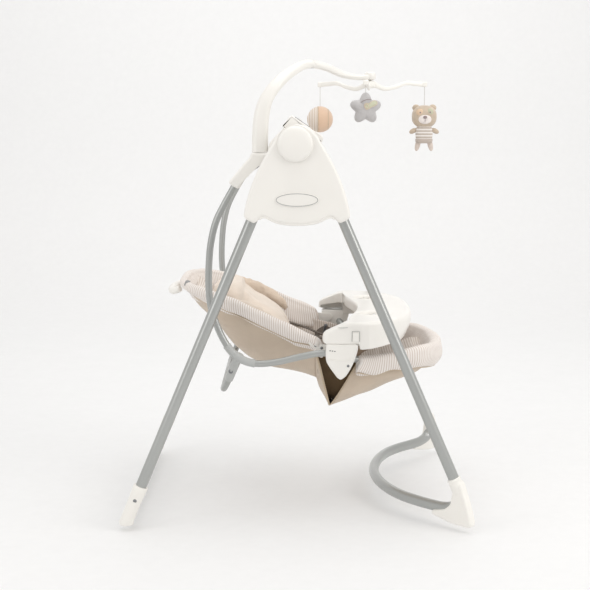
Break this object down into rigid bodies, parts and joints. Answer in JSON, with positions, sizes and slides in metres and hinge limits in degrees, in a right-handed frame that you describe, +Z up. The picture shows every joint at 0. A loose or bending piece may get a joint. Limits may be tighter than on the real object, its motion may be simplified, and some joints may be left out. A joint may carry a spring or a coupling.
{
  "type": "baby swing",
  "caption": "Full-size powered baby swing: A-frame tube stand, hanging reclining fabric seat with tray, and a turning toy mobile on a curved arm.",
  "frame": {"origin": "on the floor, under the middle of the stand's footprint", "axes": "+X towards the baby's feet, +Y towards the motor housing, +Z up"},
  "size_m": [0.8254, 0.7708, 1.0712],
  "materials": {
    "white_plastic": "satin",
    "grey_tube": "satin",
    "grey_plastic": "satin",
    "steel": "satin",
    "dark_plastic": "matte",
    "board": "satin",
    "cells": "satin",
    "striped_fabric": "matte",
    "tan_fabric": "matte",
    "pillow_fabric": "matte",
    "webbing": "matte",
    "bear_plush": "matte",
    "peach_plush": "matte",
    "lilac_plush": "matte"
  },
  "bodies": {
    "stand": {"idler_housing_cover": "white_plastic", "idler_housing_inner": "white_plastic", "motor_housing_cover": "white_plastic", "motor_housing_inner": "white_plastic", "battery_door": "white_plastic", "near_pivot_cap": "white_plastic", "far_pivot_cap": "white_plastic", "oval_badge": "white_plastic", "near_front_leg": "grey_tube", "far_front_leg": "grey_tube", "near_rear_leg": "grey_tube", "far_rear_leg": "grey_tube", "front_base_tube": "grey_tube", "rear_base_tube": "grey_tube", "near_front_foot": "white_plastic", "far_front_foot": "white_plastic", "near_rear_foot": "white_plastic", "far_rear_foot": "white_plastic", "gear_motor": "steel", "circuit_board": "board", "speaker": "dark_plastic", "battery_pack": "cells", "power_inlet": "dark_plastic", "control_pod": "white_plastic", "control_panel": "dark_plastic", "near_pivot_bush": "dark_plastic", "far_pivot_bush": "dark_plastic"},
    "speed_button": {"speed_button": "white_plastic"},
    "timer_button": {"timer_button": "white_plastic"},
    "sound_button": {"sound_button": "white_plastic"},
    "crank_wheel": {"crank_wheel": "dark_plastic"},
    "swing": {"near_pivot_shaft": "steel", "far_pivot_shaft": "steel", "near_elbow": "white_plastic", "far_elbow": "white_plastic", "near_hanger_tube": "grey_tube", "far_hanger_tube": "grey_tube", "cross_tube": "grey_tube", "near_tee_bracket": "grey_plastic", "far_tee_bracket": "grey_plastic", "near_seat_hub": "white_plastic", "far_seat_hub": "white_plastic", "mobile_arm": "white_plastic", "seat_frame_tube": "grey_tube", "seat_cover": "striped_fabric", "fabric_pocket": "tan_fabric", "crotch_strap": "webbing", "harness_buckle": "white_plastic"},
    "buckle_release": {"buckle_release": "dark_plastic"},
    "backrest": {"back_frame_tube": "grey_tube", "near_back_hinge": "white_plastic", "far_back_hinge": "white_plastic", "back_cover": "tan_fabric", "support_pillow": "pillow_fabric"},
    "recline_handle": {"recline_handle": "white_plastic"},
    "tray": {"tray": "white_plastic"},
    "mobile": {"mobile_spider": "white_plastic"},
    "toy_bear": {"toy_bear": "bear_plush"},
    "toy_ball": {"toy_ball": "peach_plush"},
    "toy_star": {"toy_star": "lilac_plush"}
  },
  "joints": [
    {"name": "swing_pivot", "type": "hinge", "parent": "stand", "child": "swing", "pos_m": [-0.004, 0, 0.878], "axis": [0, 1, 0], "range_deg": [-18, 18]},
    {"name": "recline", "type": "hinge", "parent": "swing", "child": "backrest", "pos_m": [0.085, 0, 0.395], "axis": [0, 1, 0], "range_deg": [0, 30]},
    {"name": "recline_squeeze", "type": "slide", "parent": "backrest", "child": "recline_handle", "axis": [0.9368, 0, -0.3499], "range_m": [0, 0.006], "stiffness_N_per_m": 600},
    {"name": "tray_lift", "type": "slide", "parent": "swing", "child": "tray", "axis": [0, 0, 1], "range_m": [0, 0.12]},
    {"name": "mobile_spin", "type": "hinge", "parent": "swing", "child": "mobile", "pos_m": [0.181, 0, 1.02], "axis": [0, 0, 1], "continuous": true},
    {"name": "bear_swing", "type": "hinge", "parent": "mobile", "child": "toy_bear", "pos_m": [0.32184, 0.05978, 1.011], "axis": [-0.3907, 0.9205, 0], "range_deg": [-25, 25]},
    {"name": "ball_swing", "type": "hinge", "parent": "mobile", "child": "toy_ball", "pos_m": [0.05881, 0.09208, 1.011], "axis": [-0.6018, -0.7986, 0], "range_deg": [-25, 25]},
    {"name": "star_swing", "type": "hinge", "parent": "mobile", "child": "toy_star", "pos_m": [0.16235, -0.15186, 1.011], "axis": [0.9925, -0.1219, 0], "range_deg": [-25, 25]},
    {"name": "crank_spin", "type": "hinge", "parent": "stand", "child": "crank_wheel", "pos_m": [0.005, 0.3035, 0.815], "axis": [0, 1, 0], "continuous": true},
    {"name": "buckle_press", "type": "slide", "parent": "swing", "child": "buckle_release", "axis": [1, 0, 0], "range_m": [0, 0.002], "stiffness_N_per_m": 400},
    {"name": "speed_press", "type": "slide", "parent": "stand", "child": "speed_button", "axis": [-0.5703, 0, -0.8215], "range_m": [0, 0.0015], "stiffness_N_per_m": 400},
    {"name": "timer_press", "type": "slide", "parent": "stand", "child": "timer_button", "axis": [-0.5703, 0, -0.8215], "range_m": [0, 0.0015], "stiffness_N_per_m": 400},
    {"name": "sound_press", "type": "slide", "parent": "stand", "child": "sound_button", "axis": [-0.5703, 0, -0.8215], "range_m": [0, 0.0015], "stiffness_N_per_m": 400}
  ]
}
